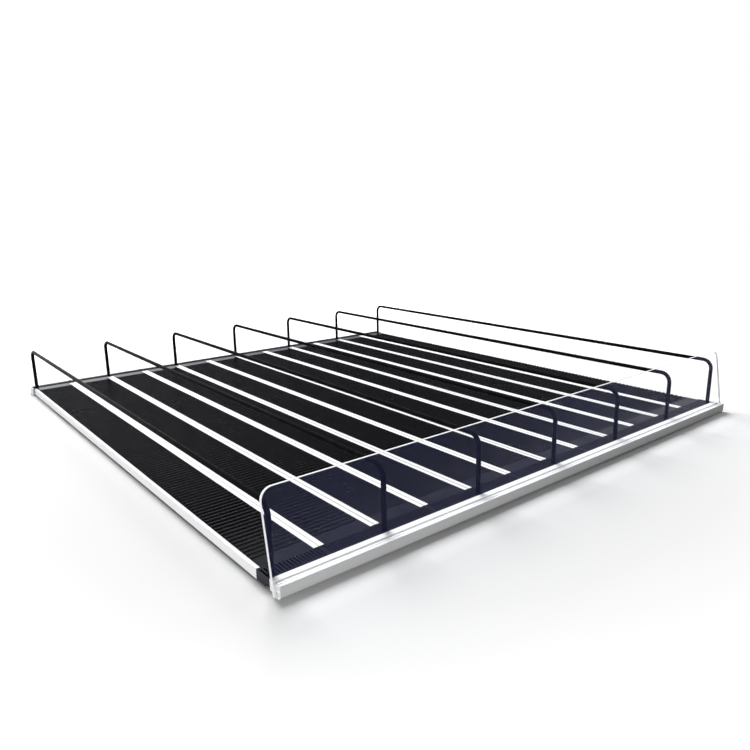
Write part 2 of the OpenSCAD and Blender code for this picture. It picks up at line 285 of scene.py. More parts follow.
def scaled_place(tree, along_x, along_y, along_z):
    """Object coordinates, each axis times its own number or socket."""
    node = add_node(tree, "ShaderNodeVectorMath", {"operation": "MULTIPLY"})
    scale = add_node(tree, "ShaderNodeCombineXYZ", X=along_x, Y=along_y, Z=along_z)
    tree.links.new(add_node(tree, "ShaderNodeTexCoord").outputs["Object"], node.inputs[0])
    tree.links.new(scale.outputs[0], node.inputs[1])
    return node.outputs[0]


# Lines that a die or a draw leaves: close together across, long along one axis
draw_lines, given, gives = new_group("draw_lines", {"X": 1200.0, "Y": 1200.0, "Z": 1200.0}, ["Value"])
lines = add_node(draw_lines, "ShaderNodeTexNoise", Scale=1.0, Detail=3.0, Roughness=0.6,
                 Vector=scaled_place(draw_lines, given["X"], given["Y"], given["Z"]))
draw_lines.links.new(lines.outputs["Fac"], gives["Value"])

# Even fine grain
fine_grain, given, gives = new_group("fine_grain", {"Scale": 900.0}, ["Value"])
grain = add_node(fine_grain, "ShaderNodeTexNoise", Scale=given["Scale"], Detail=4.0, Roughness=0.55,
                 Vector=add_node(fine_grain, "ShaderNodeTexCoord").outputs["Object"])
fine_grain.links.new(grain.outputs["Fac"], gives["Value"])

# Soft marks from handling: few, wide and uneven
handling, given, gives = new_group("handling_marks", {"Scale": 14.0, "Cover": 0.45}, ["Value"])
marks = add_node(handling, "ShaderNodeTexNoise", Scale=given["Scale"], Detail=5.0, Roughness=0.62,
                 Distortion=0.4, Vector=add_node(handling, "ShaderNodeTexCoord").outputs["Object"])
rise = math_node(handling, "SUBTRACT", marks.outputs["Fac"], given["Cover"])
handling.links.new(math_node(handling, "MULTIPLY", rise, 4.0, clamp=True), gives["Value"])

# Worn edges: where a rounded-off normal departs from the real one
worn_edges, given, gives = new_group("worn_edges", {"Width": 0.0004, "Broken": 260.0}, ["Value"])
rounded = add_node(worn_edges, "ShaderNodeBevel", {"samples": 4}, Radius=given["Width"])
facing = add_node(worn_edges, "ShaderNodeNewGeometry").outputs["Normal"]
turned = add_node(worn_edges, "ShaderNodeVectorMath", {"operation": "DOT_PRODUCT"})
worn_edges.links.new(rounded.outputs[0], turned.inputs[0])
worn_edges.links.new(facing, turned.inputs[1])
parted = math_node(worn_edges, "SUBTRACT", 1.0, turned.outputs["Value"])
bent = math_node(worn_edges, "MULTIPLY", parted, 4.0, clamp=True)
patchy = add_node(worn_edges, "ShaderNodeTexNoise", Scale=given["Broken"], Detail=2.0,
                  Vector=add_node(worn_edges, "ShaderNodeTexCoord").outputs["Object"])
worn = math_node(worn_edges, "MULTIPLY", bent, patchy.outputs["Fac"], clamp=True)
worn_edges.links.new(worn, gives["Value"])
print("shader groups:", [g.name for g in bpy.data.node_groups])

# %% [markdown]
# ## Finishes
# Every finish starts from one Principled shader. A base colour that drifts a little, a
# roughness that follows the drawn lines or grain, and a shallow bump make it read as
# coated aluminium, moulded plastic, powder coat or zinc.

# %% A finish maker
def use_group(tree, group, **inputs):
    """The value that one of the shader groups gives, with these numbers."""
    node = tree.nodes.new("ShaderNodeGroup")
    node.node_tree = group
    for name, value in inputs.items():
        node.inputs[name].default_value = value
    return node.outputs["Value"]


def between(tree, value, low, high):
    """value, from 0 to 1, spread from low to high."""
    node = add_node(tree, "ShaderNodeMapRange", Value=value)
    node.inputs["To Min"].default_value = low
    node.inputs["To Max"].default_value = high
    return node.outputs[0]


FACES_SIDEWAYS = 0.7


def finish(name, shades, roughness, relief, depth, marks, wear=None, metallic=0.0,
           specular=0.5, tint=None, flank=None):
    """A material. shades are its dark, light and handled colours, and a fourth that the
    attribute named by tint brings in. roughness is low, high and what handling adds.
    relief(tree) gives the fine pattern, whose bump is depth metres deep. marks are the
    scale and cover of the handling, wear the width, scale and colour of the worn edges,
    and flank a colour of painted shade for faces that look to the left or right."""
    material = bpy.data.materials.new(name)
    material.use_nodes = True
    tree = material.node_tree
    shader = tree.nodes["Principled BSDF"]
    pattern = relief(tree)
    handled = use_group(tree, handling, Scale=marks[0], Cover=marks[1])
    base = mix_colours(tree, pattern, shades[0], shades[1])
    base = mix_colours(tree, handled, base, shades[2])
    if tint:
        drift = add_node(tree, "ShaderNodeAttribute", {"attribute_name": tint})
        base = mix_colours(tree, drift.outputs["Fac"], base, shades[3])
    if wear:
        worn = use_group(tree, worn_edges, Width=wear[0], Broken=wear[1])
        base = mix_colours(tree, worn, base, wear[2])
    # painted shade: faces that look to the left or right get the flank colour, for the shade they lie in
    # between the rollers
    if flank:
        normal = add_node(tree, "ShaderNodeNewGeometry").outputs["True Normal"]
        facing = add_node(tree, "ShaderNodeSeparateXYZ", Vector=normal).outputs["X"]
        sideways = math_node(tree, "GREATER_THAN", math_node(tree, "ABSOLUTE", facing), FACES_SIDEWAYS)
        base = mix_colours(tree, sideways, base, flank)
    tree.links.new(base, shader.inputs["Base Color"])
    rough = between(tree, pattern, roughness[0], roughness[1])
    rough = math_node(tree, "ADD", rough, math_node(tree, "MULTIPLY", handled, roughness[2]), clamp=True)
    tree.links.new(rough, shader.inputs["Roughness"])
    bump = add_node(tree, "ShaderNodeBump", Height=pattern, Strength=1.0, Distance=depth)
    tree.links.new(bump.outputs[0], shader.inputs["Normal"])
    shader.inputs["Metallic"].default_value = metallic
    shader.inputs["Specular IOR Level"].default_value = specular
    return material


def lines_along_y(tree):
    """Lines of an extrusion that was drawn from front to rear."""
    return use_group(tree, draw_lines, X=1500.0, Y=9.0, Z=1500.0)


def lines_along_x(tree):
    """Lines of an extrusion that was drawn from side to side."""
    return use_group(tree, draw_lines, X=9.0, Y=1500.0, Z=1500.0)


def grain_of(scale):
    """A relief of fine grain at that scale."""
    return lambda tree: use_group(tree, fine_grain, Scale=scale)


print("finish maker ready")

# %% [markdown]
# The rails and the front profile are white-coated aluminium. The rails were drawn from
# front to rear and the profile from side to side, so each has its own direction of lines.
# Between the lanes only the tops of the rails are white: their flanks lie in the deep
# shade of the rollers, and a darker colour there keeps the edges of the strips straight.

# %% Coated aluminium
WORN_COAT = (0.00025, 420.0, colour(0.62, 0.63, 0.65))
white_shades = (colour(0.86, 0.866, 0.87), colour(0.90, 0.905, 0.91), colour(0.88, 0.884, 0.888))
# painted shade for the lane rails' flanks, which lie in the deep shade of the rollers
SHADED_FLANK = colour(0.035, 0.035, 0.04)
rail_coat = finish(
    "rail_coating", white_shades, (0.34, 0.46, 0.08), lines_along_y, 0.00001, (22.0, 0.52), WORN_COAT)
lane_rail_coat = finish(
    "lane_rail_coating", white_shades, (0.34, 0.46, 0.08), lines_along_y, 0.00001, (22.0, 0.52),
    WORN_COAT, flank=SHADED_FLANK)
profile_coat = finish(
    "profile_coating", white_shades, (0.32, 0.44, 0.08), lines_along_x, 0.00001, (16.0, 0.52), WORN_COAT)
bare_metal = finish(
    "rear_aluminium", (colour(0.66, 0.67, 0.69), colour(0.78, 0.79, 0.80), colour(0.6, 0.61, 0.63)),
    (0.28, 0.42, 0.1), lines_along_x, 0.00001, (20.0, 0.5), metallic=1.0)
print("aluminium finishes made")

# %% [markdown]
# The rollers and combs are moulded in black plastic with a faint blue cast. Each roller
# carries a number of its own, tint, so that no two neighbours are quite the same shade.
# The combs' smooth tongues shine, and the teeth at the rear are duller.

# %% Plastics
roller_black = finish(
    "roller_plastic",
    (colour(0.004, 0.004, 0.0056), colour(0.0055, 0.0055, 0.0075), colour(0.007, 0.007, 0.009),
     colour(0.008, 0.008, 0.011)),
    (0.24, 0.27, 0.03), grain_of(600.0), 0.000001, (12.0, 0.5), specular=0.5, tint="tint")
comb_black = finish(
    "comb_plastic",
    (colour(0.016, 0.016, 0.022), colour(0.022, 0.022, 0.029), colour(0.032, 0.032, 0.04)),
    (0.09, 0.14, 0.08), grain_of(1100.0), 0.000003, (26.0, 0.5),
    (0.0003, 500.0, colour(0.09, 0.09, 0.105)), specular=0.5)
comb_matt = finish(
    "comb_teeth",
    (colour(0.012, 0.012, 0.016), colour(0.018, 0.018, 0.023), colour(0.026, 0.026, 0.032)),
    (0.6, 0.72, 0.08), grain_of(1100.0), 0.00001, (26.0, 0.5), specular=0.15)
cap_white = finish(
    "cap_plastic", (colour(0.85, 0.855, 0.86), colour(0.89, 0.895, 0.9), colour(0.87, 0.875, 0.88)),
    (0.4, 0.52, 0.08), grain_of(1400.0), 0.000012, (30.0, 0.5))
end_grey = finish(
    "end_plastic", (colour(0.68, 0.69, 0.71), colour(0.74, 0.75, 0.77), colour(0.64, 0.65, 0.67)),
    (0.42, 0.55, 0.08), grain_of(1200.0), 0.000015, (26.0, 0.5),
    (0.0003, 400.0, colour(0.72, 0.73, 0.74)))
print("plastic finishes made")

# %% [markdown]
# The wire loops are powder coated: satin, with the low ripple that such a coat dries to.
# The cross rods are bright zinc, and the small screws have a pale coat.

# %% Powder coat, zinc and screws
wire_black = finish(
    "wire_coating",
    (colour(0.004, 0.004, 0.005), colour(0.007, 0.007, 0.008), colour(0.011, 0.011, 0.012)),
    (0.22, 0.3, 0.08), grain_of(700.0), 0.00001, (18.0, 0.5), specular=0.02)
zinc = finish(
    "zinc", (colour(0.5, 0.5, 0.51), colour(0.62, 0.62, 0.62), colour(0.42, 0.42, 0.43)),
    (0.22, 0.36, 0.12), grain_of(2400.0), 0.000006, (200.0, 0.5), metallic=1.0)
screw_white = finish(
    "screw_coating", (colour(0.74, 0.745, 0.75), colour(0.82, 0.825, 0.83), colour(0.7, 0.705, 0.71)),
    (0.3, 0.42, 0.1), grain_of(2400.0), 0.000006, (200.0, 0.5), (0.0002, 600.0, colour(0.5, 0.5, 0.51)))
print("coated and zinc finishes made")

# %% [markdown]
# The stop is a clear sheet. Its faces are polished, with a few wiped smears. Its sawn and
# flame-polished edges look white, partly from the frost of the saw and partly from the light
# they catch, and that white is painted on as an opaque white. Real glass strength would bend
# the view of the lanes behind, so the index is kept near 1, and the faint blue bloom of the
# thick sheet is painted light instead: a weak blue glow. Light for the deck passes straight through.

# %% Clear sheet
# the low and high strength of the painted blue glow of the sheet
SHEET_INDEX, PAINTED_GLOW_LOW, PAINTED_GLOW_HIGH = 1.06, 0.009, 0.014
clear = bpy.data.materials.new("clear_sheet")
clear.use_nodes = True
tree = clear.node_tree
shader = tree.nodes["Principled BSDF"]
smear_and_glow_mask = use_group(tree, handling, Scale=9.0, Cover=0.5)
hue = mix_colours(tree, smear_and_glow_mask, colour(1.0, 1.0, 1.0), colour(0.99, 0.993, 1.0))
tree.links.new(hue, shader.inputs["Base Color"])
# painted light: the sheet glows a faint blue, a little stronger where the smears lie
tree.links.new(between(tree, smear_and_glow_mask, PAINTED_GLOW_LOW, PAINTED_GLOW_HIGH), shader.inputs["Emission Strength"])
shader.inputs["Emission Color"].default_value = colour(0.22, 0.28, 1.0)
shader.inputs["Roughness"].default_value = 0.0
shader.inputs["Transmission Weight"].default_value = 1.0
shader.inputs["IOR"].default_value = SHEET_INDEX
rays = add_node(tree, "ShaderNodeLightPath").outputs
passes = math_node(tree, "MAXIMUM", rays["Is Shadow Ray"], rays["Is Diffuse Ray"])
open_air = add_node(tree, "ShaderNodeBsdfTransparent", Color=colour(0.985, 0.99, 1.0))
blend = add_node(tree, "ShaderNodeMixShader", Fac=passes)
tree.links.new(shader.outputs[0], blend.inputs[1])
tree.links.new(open_air.outputs[0], blend.inputs[2])
tree.links.new(blend.outputs[0], tree.nodes["Material Output"].inputs["Surface"])


def saw_marks(tree):
    """Fine marks across the thickness of the sheet."""
    return use_group(tree, draw_lines, X=900.0, Y=60.0, Z=900.0)


# opaque white for the sheet's edges and foot: partly the frost of a sawn edge, partly painted light for
# the light they gather
sheet_edge_painted_light = finish(
    "sheet_edge_painted_light", (colour(0.86, 0.88, 0.89), colour(0.95, 0.96, 0.965), colour(0.9, 0.91, 0.92)),
    (0.2, 0.36, 0.06), saw_marks, 0.00002, (30.0, 0.5))
print("sheet finishes made")

# %% [markdown]
# ## Dressing the solids
# The rails, front combs, profiles, caps and rods already have their true shapes, so they
# only need their finishes. A solid's name says what it is.

# %% Give the solids their finishes
finish_of = {
    "front_profile": profile_coat, "rear_profile": bare_metal, "rear_end_caps": end_grey,
    "left_end_cap": cap_white, "right_end_cap": cap_white, "cross_rods": zinc,
    "end_cap_screws": zinc, "front_stop": clear, "rear_combs": comb_black,
}
finish_by_start = {"lane_rail": lane_rail_coat, "left_side": rail_coat, "right_side": rail_coat,
                   "front_comb": comb_black, "rollers": roller_black, "live_roller": roller_black,
                   "divider": wire_black}
for name, solid in nodes.items():
    material = finish_of.get(name)
    if material is None:
        material = next(m for start, m in finish_by_start.items() if name.startswith(start))
    solid.data.materials.clear()
    solid.data.materials.append(material)
print("dressed", len(nodes), "solids")

# %% [markdown]
# ## Geometry Nodes helpers
# What repeats or follows a path is made by a small node tree. A tree is run once on an
# empty object, its result is kept as a plain mesh, and the modifier goes away again.

# %% Tree helpers
def new_tree(name, inputs):
    """A Geometry Nodes tree; inputs gives the socket type of each named input."""
    tree = bpy.data.node_groups.new(name, "GeometryNodeTree")
    tree.interface.new_socket("Geometry", in_out="INPUT", socket_type="NodeSocketGeometry")
    for label, kind in inputs.items():
        tree.interface.new_socket(label, in_out="INPUT", socket_type=kind)
    tree.interface.new_socket("Geometry", in_out="OUTPUT", socket_type="NodeSocketGeometry")
    return tree, tree.nodes.new("NodeGroupInput").outputs, tree.nodes.new("NodeGroupOutput").inputs


def grow(name, tree, values):
    """The mesh that the tree makes from values, as a new object at the origin."""
    host = bpy.data.objects.new(name + "_host", bpy.data.meshes.new(name + "_host"))
    bpy.context.collection.objects.link(host)
    modifier = host.modifiers.new("grow", "NODES")
    modifier.node_group = tree
    for item in tree.interface.items_tree:
        if item.in_out == "INPUT" and item.name in values:
            modifier[item.identifier] = values[item.name]
    host.update_tag()
    depsgraph = bpy.context.evaluated_depsgraph_get()
    mesh = bpy.data.meshes.new_from_object(host.evaluated_get(depsgraph), depsgraph=depsgraph)
    bpy.data.objects.remove(host)
    mesh.name = name
    piece = bpy.data.objects.new(name, mesh)
    bpy.context.collection.objects.link(piece)
    return piece


def smooth_by_angle(mesh, degrees):
    """Smooth shading, kept crisp where faces meet at more than that angle."""
    mesh.shade_smooth()
    mesh.set_sharp_from_angle(angle=math.radians(degrees))


print("tree helpers ready")

# %% [markdown]
# ## Rollers
# A roller is a thin bar with bevelled ends and a pin at each end, which turns in the
# rails. There are over a thousand, so the pattern roller has few faces. It is turned up
# on a lathe: a ring of points for each step of its outline, joined by bands of faces.

# %% One roller
LANE_PITCH, RAIL_WIDTH = 60 * MM, 10.5 * MM
ROLLER_RADIUS, PIN_RADIUS, ROLLER_BEVEL = 2.8 * MM, 0.8 * MM, 0.3 * MM
ROLLER_GAP, PIN_REACH = 0.25 * MM, 1.2 * MM
BAR_SIDES, PIN_SIDES = 16, 6
ROLLER_HALF = (LANE_PITCH - RAIL_WIDTH) / 2 - ROLLER_GAP
PIN_END = ROLLER_HALF + ROLLER_GAP + PIN_REACH


def turn_ring(work, x, radius, sides):
    """A ring of points round the X axis, with the first one straight up."""
    angles = [2 * math.pi * k / sides for k in range(sides)]
    return [work.verts.new((x, radius * math.sin(a), radius * math.cos(a))) for a in angles]


def turn_shape(work, outline, sides):
    """A closed shape turned round the X axis from (x, radius) pairs."""
    rings = [turn_ring(work, x, radius, sides) for x, radius in outline]
    for first, second in zip(rings, rings[1:]):
        for k in range(sides):
            work.faces.new((first[k], second[k], second[(k + 1) % sides], first[(k + 1) % sides]))
    work.faces.new(rings[0])
    work.faces.new(reversed(rings[-1]))


def to_mesh(work, name, sharp):
    """The finished mesh of work, with its faces pointing outwards."""
    bmesh.ops.recalc_face_normals(work, faces=work.faces)
    mesh = bpy.data.meshes.new(name)
    work.to_mesh(mesh)
    work.free()
    smooth_by_angle(mesh, sharp)
    return mesh


bar = bmesh.new()
shoulder = ROLLER_HALF - ROLLER_BEVEL
turn_shape(bar, [(-ROLLER_HALF, ROLLER_RADIUS - ROLLER_BEVEL), (-shoulder, ROLLER_RADIUS),
                 (shoulder, ROLLER_RADIUS), (ROLLER_HALF, ROLLER_RADIUS - ROLLER_BEVEL)], BAR_SIDES)
for side in (-1, 1):
    turn_shape(bar, [(side * ROLLER_HALF, PIN_RADIUS), (side * PIN_END, PIN_RADIUS)], PIN_SIDES)
roller_mesh = to_mesh(bar, "roller_pattern", 35)
roller_pattern = bpy.data.objects.new("roller_pattern", roller_mesh)
print("roller faces:", len(roller_mesh.polygons))

# %% [markdown]
# A row is a line of places at equal steps, with one copy of a pattern at each. The tree
# can leave out one place, as it does for the live roller of a lane, and it stores a
# chance number with each copy as its tint.

# %% The row tree
row_tree, given, gives = new_tree("pattern_row", {
    "Pattern": "NodeSocketObject", "Count": "NodeSocketInt", "First": "NodeSocketVector",
    "Step": "NodeSocketVector", "Left Out": "NodeSocketInt", "Seed": "NodeSocketInt",
    "Finish": "NodeSocketMaterial"})
places = add_node(row_tree, "GeometryNodeMeshLine", Count=given["Count"], Start_Location=given["First"],
                  Offset=given["Step"])
index = add_node(row_tree, "GeometryNodeInputIndex").outputs[0]
is_left_out = add_node(row_tree, "FunctionNodeCompare", {"data_type": "INT", "operation": "EQUAL"})
row_tree.links.new(index, is_left_out.inputs[2])
row_tree.links.new(given["Left Out"], is_left_out.inputs[3])
kept = add_node(row_tree, "GeometryNodeDeleteGeometry", {"domain": "POINT"}, Geometry=places.outputs[0],
                Selection=is_left_out.outputs[0])
pattern = add_node(row_tree, "GeometryNodeObjectInfo", Object=given["Pattern"])
placed = add_node(row_tree, "GeometryNodeInstanceOnPoints", Points=kept.outputs[0],
                  Instance=pattern.outputs["Geometry"])
shade = add_node(row_tree, "FunctionNodeRandomValue", {"data_type": "FLOAT"}, Seed=given["Seed"])
MOST_TINT = 0.3
shade.inputs[3].default_value = MOST_TINT
tinted = add_node(row_tree, "GeometryNodeStoreNamedAttribute",
                  {"data_type": "FLOAT", "domain": "INSTANCE"}, Geometry=placed.outputs[0], Name="tint")
row_tree.links.new(shade.outputs[1], tinted.inputs["Value"])
real = add_node(row_tree, "GeometryNodeRealizeInstances", Geometry=tinted.outputs[0])
painted = add_node(row_tree, "GeometryNodeSetMaterial", Geometry=real.outputs[0],
                   Material=given["Finish"])
row_tree.links.new(painted.outputs[0], gives["Geometry"])
print("row tree nodes:", len(row_tree.nodes))

# %% [markdown]
# The twelve beds of fixed rollers belong to the deck. One roller near the front of every
# lane is a body of its own, which can be spun by hand, so it is a separate piece.

# %% Roller beds and live rollers
LANES, ROLLERS, LIVE = 12, 105, 4
FIRST_Y, ROLLER_PITCH, AXIS_Z = -333.8 * MM, 6.55 * MM, 8.7 * MM


def lane_x(lane):
    """The middle of a lane, counted from 1 at the left."""
    return (lane - (LANES + 1) / 2) * LANE_PITCH


def roller_at(name, place, tint):
    """One roller of its own at place, with its place in its mesh."""
    mesh = roller_mesh.copy()
    mesh.name = name
    mesh.transform(Matrix.Translation(place))
    own_tint = mesh.attributes.new("tint", "FLOAT", "POINT")
    own_tint.data.foreach_set("value", [tint] * len(mesh.vertices))
    mesh.materials.append(roller_black)
    piece = bpy.data.objects.new(name, mesh)
    bpy.context.collection.objects.link(piece)
    return piece


chance = random.Random(12)
bpy.context.collection.objects.link(roller_pattern)
for lane in range(1, LANES + 1):
    bed = grow(f"roller_bed_{lane:02d}", row_tree, {
        "Pattern": roller_pattern, "Count": ROLLERS, "First": (lane_x(lane), FIRST_Y, AXIS_Z),
        "Step": (0, ROLLER_PITCH, 0), "Left Out": LIVE, "Seed": 100 + lane, "Finish": roller_black})
    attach(bed, "deck")
    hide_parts(f"rollers_{lane:02d}")
    live = roller_at(f"spin_roller_{lane:02d}", (lane_x(lane), FIRST_Y + LIVE * ROLLER_PITCH, AXIS_Z),
                     chance.uniform(0, MOST_TINT))
    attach(live, f"roller_{lane:02d}")
    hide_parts(f"live_roller_{lane:02d}")
bpy.data.objects.remove(roller_pattern)
bed_triangles = sum(len(p.vertices) - 2 for p in bed.data.polygons)
print("rollers:", LANES * ROLLERS, "triangles a bed:", bed_triangles)

# %% [markdown]
# ## The rear combs
# Along the rear edge the teeth end free, and the light floor shows between them. A copy
# of the solid is cut open there with a Boolean: one small box for each slot, all taken
# away in one go. A solid's mesh is loose triangles, so the copy is merged first, and the
# slivers that the cut leaves are dissolved.

# %% Cutting helpers
MERGE_WITHIN = 0.001 * MM


def box_at(work, low, high):
    """A closed box between two corners."""
    made = bmesh.ops.create_cube(work, size=1.0)["verts"]
    size = [b - a for a, b in zip(low, high)]
    middle = [(a + b) / 2 for a, b in zip(low, high)]
    placed_box = Matrix.Translation(middle) @ Matrix.Diagonal((*size, 1))
    bmesh.ops.transform(work, matrix=placed_box, verts=made)


def cut_away(name, mesh, work):
    """A new object of mesh, less the closed shapes in work."""
    tool_mesh = bpy.data.meshes.new(name + "_tool")
    work.to_mesh(tool_mesh)
    work.free()
    tool = bpy.data.objects.new(name + "_tool", tool_mesh)
    rough = bpy.data.objects.new(name + "_rough", mesh)
    for made in (tool, rough):
        bpy.context.collection.objects.link(made)
    cut = rough.modifiers.new("cut", "BOOLEAN")
    cut.operation, cut.solver, cut.object = "DIFFERENCE", "EXACT", tool
    depsgraph = bpy.context.evaluated_depsgraph_get()
    result = bpy.data.meshes.new_from_object(rough.evaluated_get(depsgraph), depsgraph=depsgraph)
    bpy.data.objects.remove(tool)
    bpy.data.objects.remove(rough)
    tidied = bmesh.new()
    tidied.from_mesh(result)
    bmesh.ops.dissolve_degenerate(tidied, edges=tidied.edges, dist=MERGE_WITHIN)
    tidied.to_mesh(result)
    tidied.free()
    result.name = name
    piece = bpy.data.objects.new(name, result)
    bpy.context.collection.objects.link(piece)
    return piece


print("points closer than", MERGE_WITHIN, "m become one")

# %% [markdown]
# Every slot of the rear combs is opened at its end and down to the low bar that still
# joins the teeth. Neighbouring combs meet in a plain joint, where there is no slot. The
# teeth get a duller skin than the smooth tongues in front of them.

# %% Open the rear slots
SLOTS_PER_COMB = 36
SLOT_PITCH, SLOT_WIDTH = 2 * LANE_PITCH / SLOTS_PER_COMB, 1.7 * MM
TEETH_FROM_REAR, OPEN_FROM_REAR, OPEN_DEPTH = 17.1 * MM, 4.1 * MM, 4.6 * MM
END_CHEEK, SKIN_MARGIN = 1.55 * MM, 0.2 * MM
comb_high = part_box("rear_combs")[1]
root_y = comb_high[1] - TEETH_FROM_REAR
last_slot = int((comb_high[0] - END_CHEEK) / SLOT_PITCH)
slots = [k for k in range(-last_slot, last_slot + 1) if k % SLOTS_PER_COMB != SLOTS_PER_COMB // 2]
openings = bmesh.new()
for k in slots:
    box_at(openings,
           (k * SLOT_PITCH - SLOT_WIDTH / 2, comb_high[1] - OPEN_FROM_REAR, comb_high[2] - OPEN_DEPTH),
           (k * SLOT_PITCH + SLOT_WIDTH / 2, comb_high[1] + MM, comb_high[2] + MM))
whole = bmesh.new()
whole.from_mesh(nodes["rear_combs"].data)
bmesh.ops.remove_doubles(whole, verts=whole.verts, dist=MERGE_WITHIN)
whole_mesh = bpy.data.meshes.new("whole_rear_combs")
whole.to_mesh(whole_mesh)
whole.free()
rear_comb = cut_away("open_rear_combs", whole_mesh, openings)
rear_comb.data.materials.clear()
for skin in (comb_black, comb_matt):
    rear_comb.data.materials.append(skin)
for face in rear_comb.data.polygons:
    face.material_index = 1 if face.center.y > root_y - SKIN_MARGIN else 0
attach(rear_comb, "deck")
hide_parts("rear_combs")
print("rear comb faces:", len(rear_comb.data.polygons), "open slots:", len(slots))

# %% [markdown]
# ## End cap screws
# Each end cap is held by two small pan-head screws with a cross recess. The head is
# turned up like the rollers, and the recess is two crossed boxes cut out of it. The same
# row tree places them, two at each end.

# %% Pan-head screws
HEAD_RADIUS, HEAD_RISE, HEAD_SIDES = 1.6 * MM, 1.1 * MM, 24
# (x, radius) in millimetres, from the end of the shaft to the top of the head
SCREW_OUTLINE = [(-9, 0.9), (0, 0.9), (0, 1.6), (0.4, 1.58), (0.8, 1.3), (1.0, 0.85), (1.08, 0.3)]
RECESS_FLOOR, RECESS_HALF, RECESS_ARM = 0.45, 0.95, 0.22


def cross_screw(name, outwards):
    """A pan-head screw along X, with its head towards outwards, -1 or 1."""
    blank = bmesh.new()
    turn_shape(blank, [(outwards * x * MM, radius * MM) for x, radius in SCREW_OUTLINE], HEAD_SIDES)
    recess = bmesh.new()
    inner, outer = sorted((outwards * RECESS_FLOOR * MM, outwards * 2 * MM))
    for half_y, half_z in ((RECESS_HALF, RECESS_ARM), (RECESS_ARM, RECESS_HALF)):
        box_at(recess, (inner, -half_y * MM, -half_z * MM), (outer, half_y * MM, half_z * MM))
    return cut_away(name, to_mesh(blank, name + "_blank", 50), recess)


screw_low, screw_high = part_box("end_cap_screws")
low_z, high_z = screw_low[2] + HEAD_RADIUS, screw_high[2] - HEAD_RADIUS
screw_y = (screw_low[1] + screw_high[1]) / 2
for label, outwards in (("left", -1), ("right", 1)):
    pattern = cross_screw(f"{label}_screw_pattern", outwards)
    face_x = outwards * (screw_high[0] - HEAD_RISE)
    screws = grow(f"{label}_cap_screws", row_tree, {
        "Pattern": pattern, "Count": 2, "First": (face_x, screw_y, low_z),
        "Step": (0, 0, high_z - low_z), "Left Out": -1, "Seed": 1, "Finish": screw_white})
    smooth_by_angle(screws.data, 40)
    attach(screws, "deck")
    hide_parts("end_cap_screws")
    bpy.data.objects.remove(pattern)
print("screw box:", [tuple(round(v, 4) for v in c) for c in (screw_low, screw_high)])

# %% [markdown]
# ## Wire dividers
# A divider is one length of wire, bent down at both ends. The tree draws the path of its
# middle line, rounds the two bends, sweeps a circle along it and adds the two flattened
# feet that stand in the comb slots.

# %% The divider tree
wire_tree, given, gives = new_tree("wire_divider", {
    "Front Foot": "NodeSocketVector", "Front Top": "NodeSocketVector", "Rear Top": "NodeSocketVector",
    "Rear Foot": "NodeSocketVector", "Bend": "NodeSocketFloat", "Radius": "NodeSocketFloat",
    "Blade": "NodeSocketVector", "Blade Drop": "NodeSocketVector", "Finish": "NodeSocketMaterial"})
corner_index = add_node(wire_tree, "GeometryNodeInputIndex").outputs[0]
path = add_node(wire_tree, "GeometryNodeMeshLine", Count=4)
chosen = given["Front Foot"]
for number, label in enumerate(("Front Top", "Rear Top", "Rear Foot"), start=1):
    past = add_node(wire_tree, "FunctionNodeCompare", {"data_type": "INT", "operation": "GREATER_EQUAL"})
    wire_tree.links.new(corner_index, past.inputs[2])
    past.inputs[3].default_value = number
    pick = add_node(wire_tree, "GeometryNodeSwitch", {"input_type": "VECTOR"}, Switch=past.outputs[0])
    wire_tree.links.new(chosen, pick.inputs["False"])
    wire_tree.links.new(given[label], pick.inputs["True"])
    chosen = pick.outputs[0]
laid = add_node(wire_tree, "GeometryNodeSetPosition", Geometry=path.outputs[0], Position=chosen)
line = add_node(wire_tree, "GeometryNodeMeshToCurve", Mesh=laid.outputs[0])
bent_wire = add_node(wire_tree, "GeometryNodeFilletCurve", {"mode": "POLY"}, Curve=line.outputs[0],
                     Count=14, Radius=given["Bend"])
ring = add_node(wire_tree, "GeometryNodeCurvePrimitiveCircle", Resolution=20, Radius=given["Radius"])
tube = add_node(wire_tree, "GeometryNodeCurveToMesh", Curve=bent_wire.outputs[0],
                Profile_Curve=ring.outputs[0], Fill_Caps=True)
joined = add_node(wire_tree, "GeometryNodeJoinGeometry")
wire_tree.links.new(tube.outputs[0], joined.inputs[0])
blade = add_node(wire_tree, "GeometryNodeMeshCube", Size=given["Blade"])
for foot in ("Front Foot", "Rear Foot"):
    low = add_node(wire_tree, "ShaderNodeVectorMath", {"operation": "ADD"})
    wire_tree.links.new(given[foot], low.inputs[0])
    wire_tree.links.new(given["Blade Drop"], low.inputs[1])
    moved = add_node(wire_tree, "GeometryNodeTransform", Geometry=blade.outputs[0],
                     Translation=low.outputs[0])
    wire_tree.links.new(moved.outputs[0], joined.inputs[0])
real = add_node(wire_tree, "GeometryNodeRealizeInstances", Geometry=joined.outputs[0])
painted = add_node(wire_tree, "GeometryNodeSetMaterial", Geometry=real.outputs[0],
                   Material=given["Finish"])
wire_tree.links.new(painted.outputs[0], gives["Geometry"])
print("divider tree nodes:", len(wire_tree.nodes))

# %% [markdown]
# Each divider takes its place and height from its own solid's box, so the seven loops
# stand where the solids say. A blade laps the wire above it by a millimetre, and ends
# where the solid ends.

